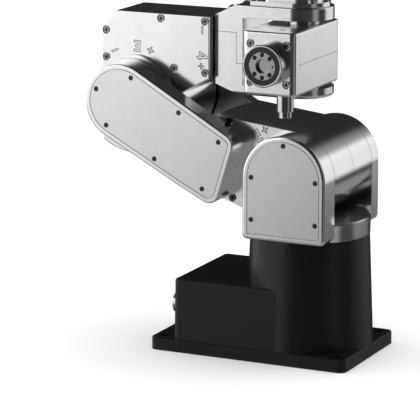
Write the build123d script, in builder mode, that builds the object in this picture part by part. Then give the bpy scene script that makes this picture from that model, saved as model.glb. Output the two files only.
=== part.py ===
"""Six-axis desktop robot arm, modelled in its folded pose.

Origin: where axis 1 meets the underside of the base. +X is forward, +Y is the
arm's left side, +Z is up. All lengths are in millimetres.
"""

import os
from math import atan2, cos, degrees, radians, sin, sqrt

from build123d import *

os.makedirs("parts", exist_ok=True)

# ---------------------------------------------------------------- driving dimensions
# Joint centres
SHOULDER_Z = 135.0          # axis 2 above the table
UPPER_ARM_LENGTH = 135.0    # axis 2 to axis 3
UPPER_ARM_TILT = 20.0       # rise of the folded upper arm above -X, degrees
ELBOW_OFFSET = 38.0         # axis 3 up to axis 4
FOREARM_LENGTH = 120.0      # axis 3 to axis 5, along axis 4
FLANGE_REACH = 70.0         # axis 5 to the tool flange's face

TILT_COS = cos(radians(UPPER_ARM_TILT))
TILT_SIN = sin(radians(UPPER_ARM_TILT))
ELBOW_X = -UPPER_ARM_LENGTH * TILT_COS
ELBOW_Z = SHOULDER_Z + UPPER_ARM_LENGTH * TILT_SIN
WRIST_X = ELBOW_X + FOREARM_LENGTH
WRIST_Z = ELBOW_Z + ELBOW_OFFSET

# Clearances
MOVE_GAP = 0.3              # between faces of bodies that turn past each other
RUN_GAP = 0.05              # radial, shaft in bearing

# Base
PLATE_FRONT_X = 47.0
PLATE_REAR_X = -106.0
PLATE_HALF = 47.0
PLATE_TOP_Z = 9.4
PLATE_CORNER = 5.0
BASE_BOLT_Y = 38.0
BASE_BOLT_FRONT_X = 38.0
BASE_BOLT_REAR_X = -98.0
BASE_BOLT_R = 3.3
COLUMN_FOOT_R = 46.2
COLUMN_TOP_R = 43.1
COLUMN_TOP_Z = 89.5
COLUMN_BORE_R = 38.5
CROWN_Z = 76.0              # underside of the column's top wall
CROWN_BORE_R = 30.0
BLOCK_REAR_X = -88.0
BLOCK_FRONT_X = 8.0         # hidden inside the column
BLOCK_CORNER = 4.0
BLOCK_TOP_Z = 53.8
BLOCK_FOOT_HALF = COLUMN_FOOT_R - 0.5
COLUMN_TAPER = (COLUMN_FOOT_R - COLUMN_TOP_R) / (COLUMN_TOP_Z - PLATE_TOP_Z)
BLOCK_TOP_HALF = BLOCK_FOOT_HALF - COLUMN_TAPER * (BLOCK_TOP_Z - PLATE_TOP_Z)
WALL = 4.0
FLOOR_T = 3.0               # bottom plate's thickness
PANEL_T = 2.0
PANEL_HALF = 36.0
PANEL_LOW_Z = 13.0
PANEL_HIGH_Z = 48.0

# Shoulder
TABLE_R = 43.4
TABLE_LOW_Z = COLUMN_TOP_Z + MOVE_GAP
TABLE_TOP_Z = 102.5
TABLE_HUB_R = 20.0
TABLE_HUB_LOW_Z = 78.0
EAR_R = 31.8
EAR_FOOT_Z = 90.4
EAR_CORNER = 4.0
FRONT_EAR_Y = (-49.2, -31.0)
REAR_EAR_Y = (38.0, 52.0)
EAR_ROUND = 2.0             # fillet round an ear's outer face
BELT_ROUND = 1.0
COVER_T = 2.0
EAR_RIM = 4.1               # rim left round an ear's cover plate
BELT_RIM = 3.5
COVER_GAP = 0.3
SEAM = 0.15                 # shadow gap between two shells of one body
POCKET_RIM = 7.5            # rim left round the pocket behind it
SHOULDER_AXLE_R = 12.0
AXLE_HEAD_R = 17.0
EAR_WALL = 4.0              # between an ear's pocket and the upper arm
TABLE_BORE_R = 9.0

# Upper arm
ARM_FRONT_Y = FRONT_EAR_Y[1] + MOVE_GAP
ARM_REAR_Y = REAR_EAR_Y[0] - MOVE_GAP
ARM_SPLIT_Y = 3.4
COVE_R = 65.0               # clearance cut for the forearm, about axis 3
BACK_ARM_Y = 27.0           # inner face of the rear elbow arm
BACK_ARM_R = 28.0
BELT_BOX_Y = (-51.5, -35.3)
BELT_BOX_R = 27.7
BELT_MOTOR_ALONG = 56.0
BELT_MOTOR_ACROSS = -14.0
ELBOW_AXLE_R = 10.0

# Forearm
FOREARM_Y = (-30.0, 24.0)
FOREARM_PLATE_T = 4.0
FOREARM_LEFT_X = -151.7
FOREARM_RIGHT_X = -66.0
FOREARM_TOP_Z = 244.2
FOREARM_ROUND_R = 40.4
ELBOW_DISC_R = 32.3
ROLL_SHAFT_R = 12.0

# Fork
FORK_HALF = 22.4
FORK_LEFT_X = -64.9
FORK_WALL_X = -43.5
FORK_LOW_Z = 188.3
FORK_GAP_Z = (195.3, 243.7)
FORK_TOP_Z = 253.0
CAP_TOP_Z = 276.0
PIVOT_R = 8.0

# Wrist and tool flange
WRIST_HALF = 20.0
WRIST_Z_RANGE = (197.0, 241.5)
WRIST_FRONT_Y = -59.3
WRIST_PLATE_Y = -52.0
WRIST_REAR_Y = 20.0
WRIST_SEAM_Z = 218.5
WRIST_CORNER = 4.5
NOSE_R = 15.0
NOSE_BORE_R = 13.5
FLANGE_R = 10.0
FLANGE_PCD = 16.0
FLANGE_HOLE_R = 1.25
FLANGE_MOUTH_R = 1.65
PILOT_R = 5.0
PILOT_DEPTH = 3.0
WRIST_SCREW_PITCH = 27.3

# Alignments and turns shared by the round pieces
UPWARD = (Align.CENTER, Align.CENTER, Align.MIN)
DOWNWARD = (Align.CENTER, Align.CENTER, Align.MAX)
TO_FRONT = (90, 0, 0)       # local Z points to -Y
TO_BACK = (-90, 0, 0)       # local Z points to +Y
TO_RIGHT = (0, 90, 0)       # local Z points to +X
TO_LEFT = (0, -90, 0)       # local Z points to -X
UPSIDE = (180, 0, 0)        # local Z points to -Z


# ---------------------------------------------------------------- helpers
def facing_front(y):
    """Plane at this y, drawn in x and z, whose extrusions run towards -Y."""
    return Plane.XZ.offset(-y)


def arm_point(along, across):
    """x and z of a point given along the upper arm and across it, upwards."""
    x = -along * TILT_COS + across * TILT_SIN
    z = SHOULDER_Z + along * TILT_SIN + across * TILT_COS
    return (x, z)


def rod_y(x, z, y_from, y_to, radius, mode=Mode.ADD):
    """Cylinder along Y inside the active part."""
    with Locations((x, y_to, z)):
        Cylinder(radius, y_to - y_from, rotation=TO_FRONT, align=UPWARD, mode=mode)


def rod_x(y, z, x_from, x_to, radius, mode=Mode.ADD):
    """Cylinder along X inside the active part."""
    with Locations((x_from, y, z)):
        Cylinder(radius, x_to - x_from, rotation=TO_RIGHT, align=UPWARD, mode=mode)


def rod_z(x, y, z_from, z_to, radius, mode=Mode.ADD):
    """Cylinder along Z inside the active part."""
    with Locations((x, y, z_from)):
        Cylinder(radius, z_to - z_from, align=UPWARD, mode=mode)


def block(x_range, y_range, z_range, mode=Mode.ADD):
    """Box inside the active part, given by its three ranges."""
    centre = [sum(pair) / 2 for pair in (x_range, y_range, z_range)]
    sides = [pair[1] - pair[0] for pair in (x_range, y_range, z_range)]
    with Locations(tuple(centre)):
        Box(*sides, mode=mode)


def hex_socket(across, depth):
    """Cutter for a hexagon socket, its mouth at local z = 0."""
    return extrude(RegularPolygon(across / 2, 6), amount=-depth)


SOCKET_PLATE = hex_socket(2.6, 1.7)
SOCKET_COVER = hex_socket(2.0, 0.9)
BUTTON_HEAD = (1.9, 1.35, 0.8)
PLATE_HEAD = (2.3, 2.15, 2.0)
PANEL_HEAD = (2.6, 2.5, 1.6)
SINK_R = 3.0                # counterbore round a plate head
SINK_DEPTH = 2.2


def add_screws(places, turn, head, shank_r, shank_length, socket):
    """Separate screws inside the active part. head is its foot radius, crown radius and height."""
    foot_r, crown_r, head_h = head
    for place in places:
        with Locations(Location(place, turn)):
            Cone(foot_r, crown_r, head_h, align=UPWARD)
            Cylinder(shank_r, shank_length, align=DOWNWARD)
            with Locations((0, 0, head_h)):
                add(socket, mode=Mode.SUBTRACT)


def drill(places, turn, head_r, head_depth, shank_r, shank_length):
    """Counterbored holes inside the active part, for add_screws at these places."""
    for place in places:
        with Locations(Location(place, turn)):
            Cylinder(shank_r, shank_length, align=DOWNWARD, mode=Mode.SUBTRACT)
            Cylinder(head_r, head_depth, align=UPWARD, mode=Mode.SUBTRACT)


# ================================================================ base
BASE_BOLT_PLACES = [
    (x, y, PLATE_TOP_Z)
    for x in (BASE_BOLT_FRONT_X, BASE_BOLT_REAR_X)
    for y in (-BASE_BOLT_Y, BASE_BOLT_Y)
]
FLOOR_X = (-86.0, 33.0)
FLOOR_HALF = 36.0
PANEL_SCREW_INSET = 3.0
FLOOR_SCREW_INSET = 6.0
FLOOR_SCREW_Y = FLOOR_HALF - PANEL_SCREW_INSET
FLOOR_SCREW_SINK = 1.6
FLOOR_SCREWS = [
    (x, y, FLOOR_SCREW_SINK)
    for x in (FLOOR_X[0] + FLOOR_SCREW_INSET, FLOOR_X[1] - FLOOR_SCREW_INSET)
    for y in (-FLOOR_SCREW_Y, FLOOR_SCREW_Y)
]
PANEL_SCREW_Y = PANEL_HALF - PANEL_SCREW_INSET
PANEL_SCREWS = [
    (BLOCK_REAR_X, y, z)
    for y in (-PANEL_SCREW_Y, PANEL_SCREW_Y)
    for z in (PANEL_LOW_Z + PANEL_SCREW_INSET, PANEL_HIGH_Z - PANEL_SCREW_INSET)
]
PANEL_MID_Z = (PANEL_LOW_Z + PANEL_HIGH_Z) / 2
POWER_Y = -20.0
POWER_R = 8.0
POWER_BORE_R = 6.4
POWER_RIM_R = 10.0
POWER_RIM_T = 2.5
POWER_REACH = 9.0           # the socket's length outside the panel
POWER_PIN_CIRCLE_R = 3.2
POWER_PIN_R = 0.8
POWER_PIN_LENGTH = 5.0
JACK_Z = PANEL_MID_Z - 3.0
JACK_LENGTH = 18.0
JACK_MOUTH = (12.0, 11.8, 8.0)
JACK_CENTRES_Y = (4.0, 24.0)
JACK_SIZE = (16.0, 14.0)
LIGHT_CENTRES_Y = (-6.0, -1.0, 4.0, 9.0, 14.0)
LIGHT_Z = 43.5
LIGHT_R = 1.2
HOUSING_EDGE = 0.8
BLOCK_EDGE = 1.5
CAVITY_HALF = 40.0
CAVITY_FRONT_X = -20.0
M3_R = 1.5
PANEL_SCREW_R = 1.6
BOARD_XS = (-68.0, -56.0, -44.0)
BOARD_T = 1.6
BASE_MOTOR_R = 22.0
BASE_MOTOR_Z = (10.0, 18.0, 60.0)
BASE_GEAR_R = 34.0

with BuildPart() as base_housing:
    with BuildSketch(Plane.XY):
        with Locations(((PLATE_FRONT_X + PLATE_REAR_X) / 2, 0)):
            RectangleRounded(PLATE_FRONT_X - PLATE_REAR_X, 2 * PLATE_HALF, PLATE_CORNER)
    extrude(amount=PLATE_TOP_Z)
    chamfer(base_housing.faces().sort_by(Axis.Z)[-1].edges(), HOUSING_EDGE)
    for level, half in ((PLATE_TOP_Z, BLOCK_FOOT_HALF), (BLOCK_TOP_Z, BLOCK_TOP_HALF)):
        with BuildSketch(Plane.XY.offset(level)):
            with Locations(((BLOCK_REAR_X + BLOCK_FRONT_X) / 2, 0)):
                RectangleRounded(BLOCK_FRONT_X - BLOCK_REAR_X, 2 * half, BLOCK_CORNER)
    loft()
    fillet(base_housing.faces().sort_by(Axis.Z)[-1].edges(), BLOCK_EDGE)
    with Locations((0, 0, PLATE_TOP_Z)):
        Cone(COLUMN_FOOT_R, COLUMN_TOP_R, COLUMN_TOP_Z - PLATE_TOP_Z, align=UPWARD)
    rod_z(0, 0, FLOOR_T, CROWN_Z, COLUMN_BORE_R, Mode.SUBTRACT)
    rod_z(0, 0, CROWN_Z, COLUMN_TOP_Z, CROWN_BORE_R, Mode.SUBTRACT)
    cavity_x = (BLOCK_REAR_X + WALL, CAVITY_FRONT_X)
    block(cavity_x, (-CAVITY_HALF, CAVITY_HALF), (FLOOR_T, BLOCK_TOP_Z - WALL), Mode.SUBTRACT)
    block(FLOOR_X, (-FLOOR_HALF, FLOOR_HALF), (0, FLOOR_T), Mode.SUBTRACT)
    window_x = (BLOCK_REAR_X, BLOCK_REAR_X + WALL)
    block(window_x, (-PANEL_HALF, PANEL_HALF), (PANEL_LOW_Z, PANEL_HIGH_Z), Mode.SUBTRACT)
    drill(BASE_BOLT_PLACES, (0, 0, 0), BASE_BOLT_R, 1, BASE_BOLT_R, PLATE_TOP_Z)
base_housing.part.label = "base_housing"
export_step(base_housing.part, "parts/base_housing.step")

with BuildPart() as base_floor_plate:
    block(FLOOR_X, (-FLOOR_HALF, FLOOR_HALF), (0, FLOOR_T))
    drill(FLOOR_SCREWS, UPSIDE, PANEL_HEAD[0], FLOOR_SCREW_SINK, M3_R, FLOOR_T)
base_floor_plate.part.label = "base_floor_plate"
export_step(base_floor_plate.part, "parts/base_floor_plate.step")

with BuildPart() as rear_panel:
    block((BLOCK_REAR_X, BLOCK_REAR_X + PANEL_T), (-PANEL_HALF, PANEL_HALF), (PANEL_LOW_Z, PANEL_HIGH_Z))
    rod_x(POWER_Y, PANEL_MID_Z, BLOCK_REAR_X, BLOCK_REAR_X + PANEL_T, POWER_R, Mode.SUBTRACT)
    for centre_y in JACK_CENTRES_Y:
        with Locations((BLOCK_REAR_X + PANEL_T / 2, centre_y, JACK_Z)):
            Box(PANEL_T, *JACK_SIZE, mode=Mode.SUBTRACT)
    for centre_y in LIGHT_CENTRES_Y:
        rod_x(centre_y, LIGHT_Z, BLOCK_REAR_X, BLOCK_REAR_X + PANEL_T, LIGHT_R, Mode.SUBTRACT)
    drill(PANEL_SCREWS, TO_LEFT, PANEL_SCREW_R, 1, PANEL_SCREW_R, PANEL_T)
rear_panel.part.label = "rear_panel"
export_step(rear_panel.part, "parts/rear_panel.step")

with BuildPart() as power_connector:
    socket_end_x = BLOCK_REAR_X - POWER_REACH
    rod_x(POWER_Y, PANEL_MID_Z, socket_end_x, BLOCK_REAR_X + 10, POWER_R)
    with Locations((BLOCK_REAR_X, POWER_Y, PANEL_MID_Z)):
        Cylinder(POWER_RIM_R, POWER_RIM_T, rotation=TO_LEFT, align=UPWARD)
    rod_x(POWER_Y, PANEL_MID_Z, socket_end_x, BLOCK_REAR_X - 1, POWER_BORE_R, Mode.SUBTRACT)
    with Locations(Location((BLOCK_REAR_X - 1, POWER_Y, PANEL_MID_Z), TO_LEFT)):
        with PolarLocations(POWER_PIN_CIRCLE_R, 4):
            Cylinder(POWER_PIN_R, POWER_PIN_LENGTH, align=UPWARD)
power_connector.part.label = "power_connector"
export_step(power_connector.part, "parts/power_connector.step")

with BuildPart() as network_jacks:
    for centre_y in JACK_CENTRES_Y:
        with Locations((BLOCK_REAR_X - 1, centre_y, JACK_Z)):
            Box(JACK_LENGTH, *JACK_SIZE, align=(Align.MIN, Align.CENTER, Align.CENTER))
            Box(*JACK_MOUTH, align=(Align.MIN, Align.CENTER, Align.CENTER), mode=Mode.SUBTRACT)
network_jacks.part.label = "network_jacks"
export_step(network_jacks.part, "parts/network_jacks.step")

with BuildPart() as status_lights:
    for centre_y in LIGHT_CENTRES_Y:
        rod_x(centre_y, LIGHT_Z, BLOCK_REAR_X - 0.4, BLOCK_REAR_X + 3, LIGHT_R)
status_lights.part.label = "status_lights"
export_step(status_lights.part, "parts/status_lights.step")

with BuildPart() as base_screws:
    add_screws(PANEL_SCREWS, TO_LEFT, PANEL_HEAD, PANEL_SCREW_R, PANEL_T, SOCKET_COVER)
    add_screws(FLOOR_SCREWS, UPSIDE, PANEL_HEAD, M3_R, FLOOR_T - FLOOR_SCREW_SINK, SOCKET_COVER)
base_screws.part.label = "base_screws"
export_step(base_screws.part, "parts/base_screws.step")

with BuildPart() as base_boards:
    for board_x in BOARD_XS:
        block((board_x, board_x + BOARD_T), (-36, 36), (10, 46))
        block((board_x + BOARD_T, board_x + 6), (-20, 12), (18, 36))
base_boards.part.label = "base_boards"
export_step(base_boards.part, "parts/base_boards.step")

with BuildPart() as base_motor:
    rod_z(0, 0, BASE_MOTOR_Z[0], BASE_MOTOR_Z[1], BASE_MOTOR_R - 6)
    rod_z(0, 0, BASE_MOTOR_Z[1], BASE_MOTOR_Z[2], BASE_MOTOR_R)
base_motor.part.label = "base_motor"
export_step(base_motor.part, "parts/base_motor.step")

with BuildPart() as base_gear_unit:
    rod_z(0, 0, BASE_MOTOR_Z[2], CROWN_Z, BASE_GEAR_R)
    rod_z(0, 0, CROWN_Z, TABLE_HUB_LOW_Z - MOVE_GAP, TABLE_HUB_R - 2)
base_gear_unit.part.label = "base_gear_unit"
export_step(base_gear_unit.part, "parts/base_gear_unit.step")

with BuildPart() as base_bearing:
    rod_z(0, 0, CROWN_Z + 1.5, COLUMN_TOP_Z - 1, CROWN_BORE_R)
    rod_z(0, 0, CROWN_Z, COLUMN_TOP_Z, TABLE_HUB_R + RUN_GAP, Mode.SUBTRACT)
base_bearing.part.label = "base_bearing"
export_step(base_bearing.part, "parts/base_bearing.step")

# ================================================================ shoulder
with BuildSketch() as ear_profile:
    with Locations((0, SHOULDER_Z)):
        Circle(EAR_R)
    with Locations((0, (EAR_FOOT_Z + SHOULDER_Z) / 2)):
        Rectangle(2 * EAR_R, SHOULDER_Z - EAR_FOOT_Z)
    fillet(ear_profile.vertices().group_by(Axis.Y)[0], EAR_CORNER)

FRONT_POCKET_Y = FRONT_EAR_Y[1] - EAR_WALL
REAR_POCKET_Y = REAR_EAR_Y[0] + EAR_WALL
EAR_SCREW_XZ = [(0, 160.0), (-24.5, 135.6), (24.5, 135.6), (-24.5, 105.2), (24.5, 105.2)]

with BuildPart() as turntable:
    rod_z(0, 0, TABLE_LOW_Z, TABLE_TOP_Z, TABLE_R)
    chamfer(turntable.edges().filter_by(GeomType.CIRCLE).group_by(Axis.Z)[-1], HOUSING_EDGE)
    rod_z(0, 0, TABLE_HUB_LOW_Z, TABLE_LOW_Z, TABLE_HUB_R)
    rod_z(0, 0, TABLE_HUB_LOW_Z, TABLE_TOP_Z, TABLE_BORE_R, Mode.SUBTRACT)
    block((-EAR_R, EAR_R), (-60, FRONT_EAR_Y[1]), (TABLE_LOW_Z, TABLE_TOP_Z), Mode.SUBTRACT)
    block((-EAR_R, EAR_R), (REAR_EAR_Y[0], 60), (TABLE_LOW_Z, TABLE_TOP_Z), Mode.SUBTRACT)
turntable.part.label = "turntable"
export_step(turntable.part, "parts/turntable.step")

with BuildPart() as front_ear:
    with BuildSketch(facing_front(FRONT_EAR_Y[1])):
        add(ear_profile.sketch_local)
    extrude(amount=FRONT_EAR_Y[1] - FRONT_EAR_Y[0])
    fillet(front_ear.faces().sort_by(Axis.Y)[0].edges(), EAR_ROUND)
    with BuildSketch(facing_front(FRONT_EAR_Y[0] + COVER_T)):
        add(ear_profile.sketch_local)
        offset(amount=-EAR_RIM)
    extrude(amount=COVER_T, mode=Mode.SUBTRACT)
    with BuildSketch(facing_front(FRONT_POCKET_Y)):
        add(ear_profile.sketch_local)
        offset(amount=-POCKET_RIM)
    extrude(amount=FRONT_POCKET_Y - FRONT_EAR_Y[0], mode=Mode.SUBTRACT)
    rod_y(0, SHOULDER_Z, FRONT_POCKET_Y, FRONT_EAR_Y[1], SHOULDER_AXLE_R, Mode.SUBTRACT)
front_ear.part.label = "front_ear"
export_step(front_ear.part, "parts/front_ear.step")

with BuildPart() as rear_ear:
    with BuildSketch(facing_front(REAR_EAR_Y[1])):
        add(ear_profile.sketch_local)
    extrude(amount=REAR_EAR_Y[1] - REAR_EAR_Y[0])
    fillet(rear_ear.faces().sort_by(Axis.Y)[-1].edges(), EAR_ROUND)
    with BuildSketch(facing_front(REAR_EAR_Y[1])):
        add(ear_profile.sketch_local)
        offset(amount=-EAR_RIM)
    extrude(amount=COVER_T, mode=Mode.SUBTRACT)
    with BuildSketch(facing_front(REAR_EAR_Y[1])):
        add(ear_profile.sketch_local)
        offset(amount=-POCKET_RIM)
    extrude(amount=REAR_EAR_Y[1] - REAR_POCKET_Y, mode=Mode.SUBTRACT)
    rod_y(0, SHOULDER_Z, REAR_EAR_Y[0], REAR_POCKET_Y, SHOULDER_AXLE_R, Mode.SUBTRACT)
rear_ear.part.label = "rear_ear"
export_step(rear_ear.part, "parts/rear_ear.step")

FRONT_EAR_SCREWS = [(x, FRONT_EAR_Y[0], z) for x, z in EAR_SCREW_XZ]
REAR_EAR_SCREWS = [(x, REAR_EAR_Y[1], z) for x, z in EAR_SCREW_XZ]

with BuildPart() as front_ear_cover:
    with BuildSketch(facing_front(FRONT_EAR_Y[0] + COVER_T)):
        add(ear_profile.sketch_local)
        offset(amount=-EAR_RIM - COVER_GAP)
    extrude(amount=COVER_T)
    drill(FRONT_EAR_SCREWS, TO_FRONT, M3_R, 1, M3_R, COVER_T)
front_ear_cover.part.label = "front_ear_cover"
export_step(front_ear_cover.part, "parts/front_ear_cover.step")

with BuildPart() as rear_ear_cover:
    with BuildSketch(facing_front(REAR_EAR_Y[1])):
        add(ear_profile.sketch_local)
        offset(amount=-EAR_RIM - COVER_GAP)
    extrude(amount=COVER_T)
    drill(REAR_EAR_SCREWS, TO_BACK, M3_R, 1, M3_R, COVER_T)
rear_ear_cover.part.label = "rear_ear_cover"
export_step(rear_ear_cover.part, "parts/rear_ear_cover.step")

with BuildPart() as ear_cover_screws:
    add_screws(FRONT_EAR_SCREWS, TO_FRONT, BUTTON_HEAD, M3_R, COVER_T, SOCKET_COVER)
    add_screws(REAR_EAR_SCREWS, TO_BACK, BUTTON_HEAD, M3_R, COVER_T, SOCKET_COVER)
ear_cover_screws.part.label = "ear_cover_screws"
export_step(ear_cover_screws.part, "parts/ear_cover_screws.step")

with BuildPart() as shoulder_axles:
    rod_y(0, SHOULDER_Z, FRONT_POCKET_Y, -20, SHOULDER_AXLE_R)
    rod_y(0, SHOULDER_Z, FRONT_POCKET_Y - 3, FRONT_POCKET_Y, AXLE_HEAD_R)
    rod_y(0, SHOULDER_Z, 26, REAR_POCKET_Y, SHOULDER_AXLE_R)
    rod_y(0, SHOULDER_Z, REAR_POCKET_Y, REAR_POCKET_Y + 3, AXLE_HEAD_R)
shoulder_axles.part.label = "shoulder_axles"
export_step(shoulder_axles.part, "parts/shoulder_axles.step")

# ================================================================ upper arm
ARM_CORNERS = [arm_point(70, 12.9), arm_point(80, -35.9), arm_point(20, -35.4)]
ARM_CORNER_R = 3.0
SHELL_T = 4.5               # wall of the arm's and forearm's shells
ARM_CAVITY_Y = (-18.0, 25.0)
ARM_BOLT_LENGTH = 8.0
REAR_CAP_T = 1.5
REAR_CAP_R = 21.0
MOTOR_SHAFT_HOLE_R = 4.0

with BuildSketch() as arm_profile:
    with Locations((0, SHOULDER_Z)):
        Circle(EAR_R)
    with Locations(*ARM_CORNERS):
        Circle(ARM_CORNER_R)
    make_hull()
with BuildSketch() as arm_block_profile:
    add(arm_profile.sketch_local)
    with Locations((ELBOW_X, ELBOW_Z)):
        Circle(COVE_R, mode=Mode.SUBTRACT)
with BuildSketch() as back_arm_profile:
    with Locations((ELBOW_X, ELBOW_Z)):
        Circle(BACK_ARM_R)
    with Locations(arm_point(66, 12.9), arm_point(66, -35.9)):
        Circle(ARM_CORNER_R)
    make_hull()

MOTOR_X, MOTOR_Z = arm_point(BELT_MOTOR_ALONG, BELT_MOTOR_ACROSS)
ARM_SCREW_XZ = [(-50.0, 171.0), (-47.2, 115.2)]
ARM_SCREWS = [(x, ARM_FRONT_Y + SINK_DEPTH, z) for x, z in ARM_SCREW_XZ]
BEARING_FRONT_Y = (-29.5, -21.5)
BEARING_REAR_Y = (28.0, 36.0)
BEARING_R = 20.0

with BuildPart() as upper_arm_front:
    with BuildSketch(facing_front(ARM_SPLIT_Y)):
        add(arm_block_profile.sketch_local)
    extrude(amount=ARM_SPLIT_Y - ARM_FRONT_Y)
    with BuildSketch(facing_front(ARM_SPLIT_Y)):
        add(arm_block_profile.sketch_local)
        offset(amount=-SHELL_T)
    extrude(amount=ARM_SPLIT_Y - ARM_CAVITY_Y[0], mode=Mode.SUBTRACT)
    rod_y(0, SHOULDER_Z, ARM_FRONT_Y, ARM_CAVITY_Y[0], BEARING_R, Mode.SUBTRACT)
    rod_y(MOTOR_X, MOTOR_Z, ARM_FRONT_Y, ARM_CAVITY_Y[0], MOTOR_SHAFT_HOLE_R, Mode.SUBTRACT)
    drill(ARM_SCREWS, TO_FRONT, SINK_R, SINK_DEPTH, M3_R, ARM_BOLT_LENGTH)
upper_arm_front.part.label = "upper_arm_front"
export_step(upper_arm_front.part, "parts/upper_arm_front.step")

with BuildPart() as upper_arm_rear:
    with BuildSketch(facing_front(ARM_REAR_Y)):
        add(arm_block_profile.sketch_local)
    extrude(amount=ARM_REAR_Y - ARM_SPLIT_Y - SEAM)
    with BuildSketch(facing_front(ARM_REAR_Y)):
        add(back_arm_profile.sketch_local)
    extrude(amount=ARM_REAR_Y - BACK_ARM_Y)
    with BuildSketch(facing_front(ARM_CAVITY_Y[1])):
        add(arm_block_profile.sketch_local)
        offset(amount=-SHELL_T)
    extrude(amount=ARM_CAVITY_Y[1] - ARM_SPLIT_Y, mode=Mode.SUBTRACT)
    rod_y(0, SHOULDER_Z, ARM_CAVITY_Y[1], ARM_REAR_Y, BEARING_R, Mode.SUBTRACT)
    rod_y(ELBOW_X, ELBOW_Z, BACK_ARM_Y, ARM_REAR_Y, ELBOW_AXLE_R, Mode.SUBTRACT)
    rod_y(ELBOW_X, ELBOW_Z, ARM_REAR_Y - REAR_CAP_T, ARM_REAR_Y, REAR_CAP_R, Mode.SUBTRACT)
upper_arm_rear.part.label = "upper_arm_rear"
export_step(upper_arm_rear.part, "parts/upper_arm_rear.step")

with BuildPart() as elbow_rear_cap:
    rod_y(ELBOW_X, ELBOW_Z, ARM_REAR_Y - REAR_CAP_T, ARM_REAR_Y, REAR_CAP_R - 0.1)
elbow_rear_cap.part.label = "elbow_rear_cap"
export_step(elbow_rear_cap.part, "parts/elbow_rear_cap.step")

with BuildPart() as shoulder_bearings:
    rod_y(0, SHOULDER_Z, *BEARING_FRONT_Y, BEARING_R)
    rod_y(0, SHOULDER_Z, *BEARING_REAR_Y, BEARING_R)
    bore_y = (BEARING_FRONT_Y[0], BEARING_REAR_Y[1])
    rod_y(0, SHOULDER_Z, *bore_y, SHOULDER_AXLE_R + RUN_GAP, Mode.SUBTRACT)
shoulder_bearings.part.label = "shoulder_bearings"
export_step(shoulder_bearings.part, "parts/shoulder_bearings.step")

with BuildPart() as shoulder_gear_unit:
    rod_y(0, SHOULDER_Z, -17.5, 2, 26.0)
shoulder_gear_unit.part.label = "shoulder_gear_unit"
export_step(shoulder_gear_unit.part, "parts/shoulder_gear_unit.step")

with BuildPart() as shoulder_motor:
    rod_y(0, SHOULDER_Z, 2, 24, 22.0)
shoulder_motor.part.label = "shoulder_motor"
export_step(shoulder_motor.part, "parts/shoulder_motor.step")

# ---- belt drive to the elbow
BELT_CORNERS = [(-46.6, 156.8), (-57.0, 122.6)]
BELT_CORNER_R = 8.6
BELT_BEND = (-81.0, 124.4)
BELT_Y = (-47.5, -40.5)
ELBOW_PULLEY_R = 14.0
MOTOR_PULLEY_R = 6.0
BELT_T = 1.5
BELT_FLOOR_T = 2.7
BELT_FLOOR_Y = BELT_BOX_Y[1] - BELT_FLOOR_T
MOTOR_SHAFT_R = 3.0
PULLEY_LIP = 1.2

with BuildSketch() as belt_box_profile:
    with Locations((ELBOW_X, ELBOW_Z)):
        Circle(BELT_BOX_R)
    with Locations(*BELT_CORNERS):
        Circle(BELT_CORNER_R)
    with Locations((BELT_BEND[0] + 2, BELT_BEND[1] + 4)):
        Circle(4.0)
    make_hull()
with BuildSketch() as belt_foot_profile:
    add(belt_box_profile.sketch_local)
    with Locations((ELBOW_X, ELBOW_Z)):
        Circle(COVE_R + 1, mode=Mode.SUBTRACT)

BELT_SCREW_XZ = [
    (ELBOW_X - 19.0, ELBOW_Z + 8.6),
    (ELBOW_X + 9.0, ELBOW_Z + 18.6),
    (ELBOW_X - 11.2, ELBOW_Z - 17.2),
    (-99.5, 142.6),
    (-80.1, 177.6),
    (-49.0, 159.0),
    (-61.8, 124.2),
]
BELT_SCREWS = [(x, BELT_BOX_Y[0], z) for x, z in BELT_SCREW_XZ]

with BuildPart() as belt_housing:
    with BuildSketch(facing_front(BELT_BOX_Y[1])):
        add(belt_box_profile.sketch_local)
    extrude(amount=BELT_BOX_Y[1] - BELT_BOX_Y[0])
    fillet(belt_housing.faces().sort_by(Axis.Y)[0].edges(), BELT_ROUND)
    with BuildSketch(facing_front(ARM_FRONT_Y)):
        add(belt_foot_profile.sketch_local)
    extrude(amount=ARM_FRONT_Y - BELT_BOX_Y[1])
    with BuildSketch(facing_front(BELT_BOX_Y[0] + COVER_T)):
        add(belt_box_profile.sketch_local)
        offset(amount=-BELT_RIM)
    extrude(amount=COVER_T, mode=Mode.SUBTRACT)
    with BuildSketch(facing_front(BELT_FLOOR_Y)):
        add(belt_box_profile.sketch_local)
        offset(amount=-POCKET_RIM + 1)
    extrude(amount=BELT_FLOOR_Y - BELT_BOX_Y[0], mode=Mode.SUBTRACT)
    rod_y(ELBOW_X, ELBOW_Z, BELT_FLOOR_Y, BELT_BOX_Y[1], ELBOW_AXLE_R, Mode.SUBTRACT)
    rod_y(MOTOR_X, MOTOR_Z, BELT_FLOOR_Y, ARM_FRONT_Y, MOTOR_SHAFT_HOLE_R, Mode.SUBTRACT)
belt_housing.part.label = "belt_housing"
export_step(belt_housing.part, "parts/belt_housing.step")

with BuildPart() as belt_cover:
    with BuildSketch(facing_front(BELT_BOX_Y[0] + COVER_T)):
        add(belt_box_profile.sketch_local)
        offset(amount=-BELT_RIM - COVER_GAP)
    extrude(amount=COVER_T)
    drill(BELT_SCREWS, TO_FRONT, M3_R, 1, M3_R, COVER_T)
belt_cover.part.label = "belt_cover"
export_step(belt_cover.part, "parts/belt_cover.step")

with BuildPart() as upper_arm_screws:
    add_screws(BELT_SCREWS, TO_FRONT, BUTTON_HEAD, M3_R, COVER_T, SOCKET_COVER)
    add_screws(ARM_SCREWS, TO_FRONT, PLATE_HEAD, M3_R, ARM_BOLT_LENGTH, SOCKET_PLATE)
upper_arm_screws.part.label = "upper_arm_screws"
export_step(upper_arm_screws.part, "parts/upper_arm_screws.step")

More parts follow.
